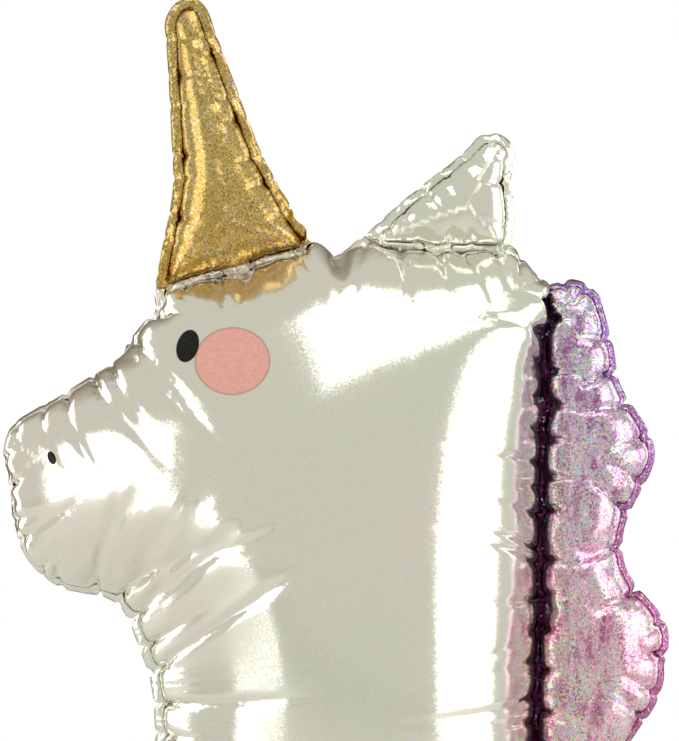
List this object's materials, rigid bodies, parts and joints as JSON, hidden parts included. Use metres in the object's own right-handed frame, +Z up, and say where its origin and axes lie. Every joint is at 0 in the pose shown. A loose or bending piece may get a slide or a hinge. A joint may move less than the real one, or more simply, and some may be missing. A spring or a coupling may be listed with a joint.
{
  "type": "foil balloon",
  "caption": "Unicorn-headed foil balloon shaped like a figure one, with horn, ear and mane cells that bend on their welds, a filling tail with a valve, and a ribbon tab.",
  "frame": {"origin": "middle of the ribbon hole in the tab at the foot", "axes": "+Z up the balloon from the ribbon hole to the horn, +X towards the mane, -Y towards the printed front"},
  "size_m": [0.5738, 0.2702, 1.0195],
  "materials": {
    "pearl_film": "metallised film with a pearl-white print and a fine glitter",
    "gold_film": "metallised film with a gold glitter print",
    "mane_film": "metallised film printed from purple to pink, with a rainbow glitter",
    "valve_film": "clear polyethylene film"
  },
  "bodies": {
    "body": {"body_front_film": "pearl_film", "body_back_film": "pearl_film", "body_seam_band": "pearl_film", "horn_hinge_weld": "pearl_film", "horn_passage_films": "pearl_film", "ear_hinge_weld": "pearl_film", "ear_passage_films": "pearl_film", "mane_hinge_weld": "mane_film", "mane_passage_films": "mane_film", "valve_front_film": "valve_film", "valve_back_film": "valve_film", "ribbon_tab": "pearl_film"},
    "horn": {"horn_front_film": "gold_film", "horn_back_film": "gold_film", "horn_seam_band": "gold_film"},
    "ear": {"ear_front_film": "pearl_film", "ear_back_film": "pearl_film", "ear_seam_band": "pearl_film"},
    "mane": {"mane_front_film": "mane_film", "mane_back_film": "mane_film", "mane_seam_band": "mane_film"},
    "tail": {"tail_front_film": "pearl_film", "tail_back_film": "pearl_film"}
  },
  "joints": [
    {"name": "horn_flex", "type": "hinge", "parent": "body", "child": "horn", "pos_m": [-0.14973, 0, 0.74877], "axis": [0.9624, 0, 0.2715], "range_deg": [-25, 25], "stiffness_Nm_per_rad": 0.08},
    {"name": "ear_flex", "type": "hinge", "parent": "body", "child": "ear", "pos_m": [0.02773, 0, 0.785], "axis": [0.9993, 0, -0.0377], "range_deg": [-25, 25], "stiffness_Nm_per_rad": 0.03},
    {"name": "mane_flex", "type": "hinge", "parent": "body", "child": "mane", "pos_m": [0.1575, 0, 0.02985], "axis": [0.0253, 0, 0.9997], "range_deg": [-20, 20], "stiffness_Nm_per_rad": 0.15},
    {"name": "tail_fold", "type": "hinge", "parent": "body", "child": "tail", "pos_m": [-0.06, 0, 0.0202], "axis": [1, 0, 0], "range_deg": [-90, 90]}
  ]
}
